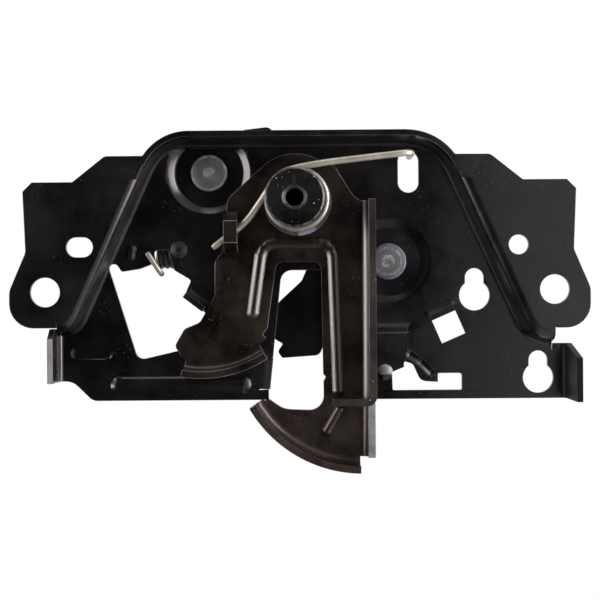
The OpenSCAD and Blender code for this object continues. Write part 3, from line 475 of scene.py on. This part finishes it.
# Painted shade and highlight: the washer's dark base is shade, its bluish crescent a highlight.
washer_nylon = finish("washer_nylon", (0.012, 0.0115, 0.012), (0.03, 0.029, 0.03), (0.06, 0.06, 0.065),
                      (0.4, 0.5), dusty=0.1, scuffed=0.1, rings=[
                          (WASHER_PAINTED_HIGHLIGHT_AT, 0, 3.3, 0.4, (0.1, 0.112, 0.15))])
print("finishes", len(bpy.data.materials))

# %% [markdown]
# A press leaves a sheet with slightly broken edges, and the coat wears through there first. A Bevel modifier
# on every edge would also round the facets of curves, so the edges are weighed first: creases that bend
# inward are softened in the same finish, and cut edges that bend outward are broken by a sixth of a
# millimetre and take the worn finish. Steps of a few hundredths of a millimetre are left alone, because a
# bevel would fold over them. Weighted normals keep the large faces flat.

# %% A solid's copy, and which piece stands for it
MERGE = 0.0005 * MM


def copied(node, name):
    """A separate, merged copy of a solid's mesh, ready to be worked on."""
    bpy.ops.object.select_all(action="DESELECT")
    piece = bpy.data.objects.new(name, nodes[node].data.copy())
    scene.collection.objects.link(piece)
    bpy.context.view_layer.objects.active = piece
    piece.select_set(True)
    piece.data.materials.clear()
    if piece.data.has_custom_normals:
        bpy.ops.mesh.customdata_custom_splitnormals_clear()
    bpy.ops.object.mode_set(mode="EDIT")
    bpy.ops.mesh.select_all(action="SELECT")
    bpy.ops.mesh.remove_doubles(threshold=MERGE)
    bpy.ops.object.mode_set(mode="OBJECT")
    return piece


def stands_for(piece, node, body):
    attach(piece, body)
    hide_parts(node)
    print(piece.name, len(piece.data.polygons), "faces for", node)


print("copies are merged within", MERGE / MM, "mm")

# %% Weighing and breaking edges
NARROW = 0.04 * MM
FLAT_DEG = 0.4
SHARP_DEG = 42
CREASE_DEG, CREASE, CREASE_STEPS = 30, 0.35 * MM, 3
CUT_DEG, CUT, CUT_STEPS = 50, 0.16 * MM, 2
SAME_FINISH, SECOND_FINISH = -1, 1


def weigh_edges(piece, wanted):
    """Marks for bevelling the edges whose bend in degrees and convexity are wanted, but for slivers."""
    mesh = piece.data
    sides = {}
    for face in mesh.polygons:
        loop = list(face.vertices)
        for start, end in zip(loop, loop[1:] + loop[:1]):
            sides.setdefault((min(start, end), max(start, end)), []).append((face, start, end))
    weights = mesh.attributes.get("bevel_weight_edge")
    if weights is None:
        weights = mesh.attributes.new("bevel_weight_edge", "FLOAT", "EDGE")
    for edge in mesh.edges:
        pair = sides[edge.key]
        mark = False
        if len(pair) == 2:
            (first, _, _), (second, start, end) = pair
            along = mesh.vertices[end].co - mesh.vertices[start].co
            inward = second.normal.cross(along)
            bend = math.degrees(first.normal.angle(second.normal, 0))
            depth = min(first.area, second.area) / max(along.length, MERGE)
            mark = depth > NARROW and wanted(bend, inward.dot(first.normal) < 0)
        weights.data[edge.index].value = 1.0 if mark else 0.0


def bevelled(piece, name, width, segments, material, clamp):
    """Bevels the marked edges. With clamp, the shortest edge in the way limits the width of all."""
    bevel = piece.modifiers.new(name, "BEVEL")
    bevel.width = width
    bevel.segments = segments
    bevel.limit_method = "WEIGHT"
    bevel.material = material
    bevel.use_clamp_overlap = clamp
    bpy.ops.object.modifier_apply(modifier=bevel.name)


def broken_edges(piece, coat, edge):
    """Rounds the creases of a piece, then breaks its cut edges and gives those the second finish."""
    piece.data.materials.append(coat)
    piece.data.materials.append(edge)
    bpy.ops.object.mode_set(mode="EDIT")
    bpy.ops.mesh.select_all(action="SELECT")
    bpy.ops.mesh.dissolve_limited(angle_limit=math.radians(FLAT_DEG))
    bpy.ops.mesh.quads_convert_to_tris(quad_method="BEAUTY", ngon_method="BEAUTY")
    bpy.ops.object.mode_set(mode="OBJECT")
    weigh_edges(piece, lambda bend, convex: bend > CREASE_DEG and not convex)
    bevelled(piece, "creases", CREASE, CREASE_STEPS, SAME_FINISH, clamp=True)
    weigh_edges(piece, lambda bend, convex: bend > CUT_DEG and convex)
    bevelled(piece, "cut_edges", CUT, CUT_STEPS, SECOND_FINISH, clamp=False)
    bpy.ops.object.shade_smooth_by_angle(angle=math.radians(SHARP_DEG))
    flat = piece.modifiers.new("flat_faces", "WEIGHTED_NORMAL")
    flat.keep_sharp = True
    bpy.ops.object.modifier_apply(modifier=flat.name)


print("cut edges are broken by", round(CUT / MM, 2), "mm")

# %% Plate, catch, claw and pawl
pressed = {}
for node, body, coat, edge, slot in (
    ("base_plate", "base", plate_coat, plate_edge, "plate_coat"),
    ("safety_catch", "catch", catch_coat, catch_line, "catch_coat"),
    ("claw", "fork", claw_coat_and_painted_shade, plate_edge, "claw_steel"),
    ("pawl", "release", claw_coat_and_painted_shade, plate_edge, "claw_steel"),
):
    pressed[node] = copied(node, node + "_pressed")
    broken_edges(pressed[node], coat, edge)
    stands_for(pressed[node], node, body)

# %% [markdown]
# One coat never looks the same all over a pressing. Steep walls are duller, and lighter as painted sheen. The
# walls of the pad, the guide and the right tab are darkened as painted shade, and the dome is lightened as a
# painted highlight. Cut edges that face the viewer carry less of the coat, and those that hands and the
# striker touch are almost bare. A mask could be painted, but these borders follow the form, so the faces are
# picked by where they lie and which way they face.

# %% Picking faces
FORWARD = -0.9
STEEP = -0.97
LEVEL_FIT = 0.1


def refinished(piece, material, chosen):
    """Gives a finish to the faces that chosen picks, by their centre in mm and the way they face."""
    names = [m.name for m in piece.data.materials]
    if material.name not in names:
        piece.data.materials.append(material)
        names.append(material.name)
    faces = [f for f in piece.data.polygons if chosen(f.center / MM, f.normal)]
    for face in faces:
        face.material_index = names.index(material.name)
    print(piece.name, len(faces), "faces in", material.name)


def fronts_at(level, at, facing):
    return facing.y < FORWARD and abs(at.y - level) < LEVEL_FIT


def within(value, span):
    return span[0] < value < span[1]


def near(at, centre, reach):
    return math.dist((at.x, at.z), centre) < reach


print("fronts lie within", LEVEL_FIT, "mm of a level")

# %% Catch: hook, ribs, flange and strip
HOOK_TOP = -36
RIB_TURN = (STEEP, -0.2)
RIB_SPAN = (-35, 14)
LEFT_RIB_FOOT = -12
FLANGE_FRONT, FLANGE_LEFT, FLANGE_FOOT = -6, 12, -42
STRIP_FRONT, STRIP_LEFT = -2.5, 22


def on_hook(at, facing):
    return facing.y < 0 and at.z < HOOK_TOP


def on_ribs(at, facing):
    return within(facing.y, RIB_TURN) and within(at.z, RIB_SPAN) and (at.x > 0 or at.z > LEFT_RIB_FOOT)


def on_flange(at, facing):
    return fronts_at(FLANGE_FRONT, at, facing) and at.x > FLANGE_LEFT and at.z > FLANGE_FOOT


def on_strip(at, facing):
    return fronts_at(STRIP_FRONT, at, facing) and at.x > STRIP_LEFT


for material, chosen in (
    (catch_dusty, on_hook),
    (catch_rib, on_ribs),
    (catch_edge, on_flange),
    (bare_edge_and_painted_highlight, on_strip),
):
    refinished(pressed["safety_catch"], material, chosen)

# %% Plate: walls, tabs, pad, guide and dome
PAN_FRONT = 6.95
WALL_TURN = (STEEP, 0)
WALL_FOOT = -14
RIGHT_TAB_LEFT, RIGHT_TAB_TOP = 88, -12
PAD_R = 19
GUIDE_ACROSS, GUIDE_SPAN = (-16, -8.5), (-35, -19)
LEFT_TAB_FRONT, LEFT_TAB_RIGHT = -8, -80
DOME_AT, DOME_R = (29.3, -26), 3.6


def on_pan_wall(at, facing):
    return within(at.y, (0, PAN_FRONT)) and within(facing.y, WALL_TURN) and at.z > WALL_FOOT


def on_right_tab(at, facing):
    return at.y < PAN_FRONT and at.x > RIGHT_TAB_LEFT and at.z < RIGHT_TAB_TOP


def on_pad_wall(at, facing):
    return near(at, CLAW_AT, PAD_R) and within(facing.y, WALL_TURN)


def on_guide(at, facing):
    return facing.y < 0 and within(at.x, GUIDE_ACROSS) and within(at.z, GUIDE_SPAN)


def on_left_tab(at, facing):
    return fronts_at(LEFT_TAB_FRONT, at, facing) and at.x < LEFT_TAB_RIGHT


def on_dome(at, facing):
    return at.y < PAN_FRONT and near(at, DOME_AT, DOME_R)


for material, chosen in (
    # Painted sheen on the steep walls
    (plate_wall_painted_sheen, on_pan_wall),
    # Painted shade on the right tab
    (plate_painted_shade, on_right_tab),
    # Painted shade on the pad's walls
    (claw_coat_and_painted_shade, on_pad_wall),
    # Painted shade on the guide
    (plate_painted_shade, on_guide),
    (bare_edge_and_painted_highlight, on_left_tab),
    # Painted highlight on the dome
    (bare_edge_and_painted_highlight, on_dome),
):
    refinished(pressed["base_plate"], material, chosen)

# %% [markdown]
# The bush and the rivets are turned on a lathe and their ends are hammered over, and the washer is moulded.
# They could be spun up again from a profile, but the solids are already round, so they get the same broken
# edges as the sheet. Only the bush's edges wear to another finish.

# %% Bush, rivets and washer
for node, coat, edge, slot in (
    ("catch_bush", bush_coat, bush_worn, "bush_steel"),
    ("claw_rivet", claw_rivet_steel, claw_rivet_steel, "rivet_steel"),
    ("pawl_rivet", pawl_rivet_steel, pawl_rivet_steel, "rivet_steel"),
    ("spring_washer", washer_nylon, washer_nylon, "washer_nylon"),
):
    turned = copied(node, node + "_turned")
    broken_edges(turned, coat, edge)
    stands_for(turned, node, "base")

# %% [markdown]
# The tapped hole needs its thread. A bump texture would vanish at the mouth of the bore, where its outline
# shows, so it is real: a small triangle, turned and raised by the Screw modifier, winds a ridge up the wall.

# %% Thread in the bush
PITCH = 1.25 * MM
BORE_R = 3.4 * MM
RIDGE = 0.32 * MM
RIDGE_SIDES = 3
THREAD_TURNS = 12
STEPS_A_TURN = 40
THREAD_FRONT = -6 * MM
bpy.ops.object.select_all(action="DESELECT")
bpy.ops.mesh.primitive_circle_add(vertices=RIDGE_SIDES, radius=RIDGE, fill_type="NOTHING",
                                  location=(BORE_R, 0, 0), rotation=(0, 0, math.pi / 2))
thread = bpy.context.object
thread.name = "bush_thread"
bpy.ops.object.transform_apply(location=True, rotation=True, scale=True)
wind = thread.modifiers.new("wind", "SCREW")
wind.axis = "Y"
wind.angle = 2 * math.pi
wind.screw_offset = PITCH
wind.iterations = THREAD_TURNS
wind.steps = wind.render_steps = STEPS_A_TURN
bpy.ops.object.modifier_apply(modifier=wind.name)
bpy.ops.object.mode_set(mode="EDIT")
bpy.ops.mesh.select_all(action="SELECT")
bpy.ops.mesh.fill_holes(sides=RIDGE_SIDES)
bpy.ops.mesh.normals_make_consistent(inside=False)
bpy.ops.object.mode_set(mode="OBJECT")
thread.location = (BUSH_AT[0] * MM, THREAD_FRONT, BUSH_AT[1] * MM)
bpy.ops.object.transform_apply(location=True)
thread.data.materials.append(bush_worn)
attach(thread, "base")
ends = [v.co.y / MM for v in thread.data.vertices]
print("thread from", round(min(ends), 1), "to", round(max(ends), 1), "mm")

# %% [markdown]
# Springs are drawn wire, and the solids' wires have eight sides. A curve with a round bevel could replace
# them, but their paths are already right, so subdivision rounds them. It also draws them in, and so they are
# fattened first by the share that it takes off an eight-sided ring.

# %% Round spring wires
WIRE_SIDES = 8
WIRE_LEVELS = 2
ROUNDED = (2 + math.cos(2 * math.pi / WIRE_SIDES)) / 3
# Node, thickness, finish, the body it pulls, and where the bend starts and ends
WIRES = (
    ("catch_spring", 2.3 * MM, spring_wire, "catch", (8 * MM, 0, 32.1 * MM), (-10 * MM, 0, 32.1 * MM)),
    ("claw_spring", 1.9 * MM, wire_painted_shade, "fork", (-15 * MM, 0, 12.4 * MM), (3.5 * MM, 0, 12.4 * MM)),
    ("pawl_spring", 1.4 * MM, wire_painted_shade, "release", (-36 * MM, 0, 41.7 * MM), (-27 * MM, 0, 41.7 * MM)),
)
for node, thick, material, pulled, held_at, pulled_at in WIRES:
    wire = copied(node, node + "_wire")
    wire.data.materials.append(material)
    bpy.ops.object.mode_set(mode="EDIT")
    bpy.ops.mesh.select_all(action="SELECT")
    bpy.ops.mesh.tris_convert_to_quads(face_threshold=math.pi, shape_threshold=math.pi)
    bpy.ops.transform.shrink_fatten(value=thick / 2 * (1 / ROUNDED - 1))
    bpy.ops.object.mode_set(mode="OBJECT")
    smooth = wire.modifiers.new("round_wire", "SUBSURF")
    smooth.levels = smooth.render_levels = WIRE_LEVELS
    bpy.ops.object.modifier_apply(modifier=smooth.name)
    bpy.ops.object.shade_smooth()
    # Before the plate the wire takes the lit finish; behind it keeps the darker copy, partly darker steel and
    # partly painted shade.
    refinished(wire, spring_wire, lambda at, facing: at.y < PAN_FRONT)
    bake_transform(wire)
    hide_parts(node)
    print(wire.name, len(wire.data.polygons), "faces for", node)
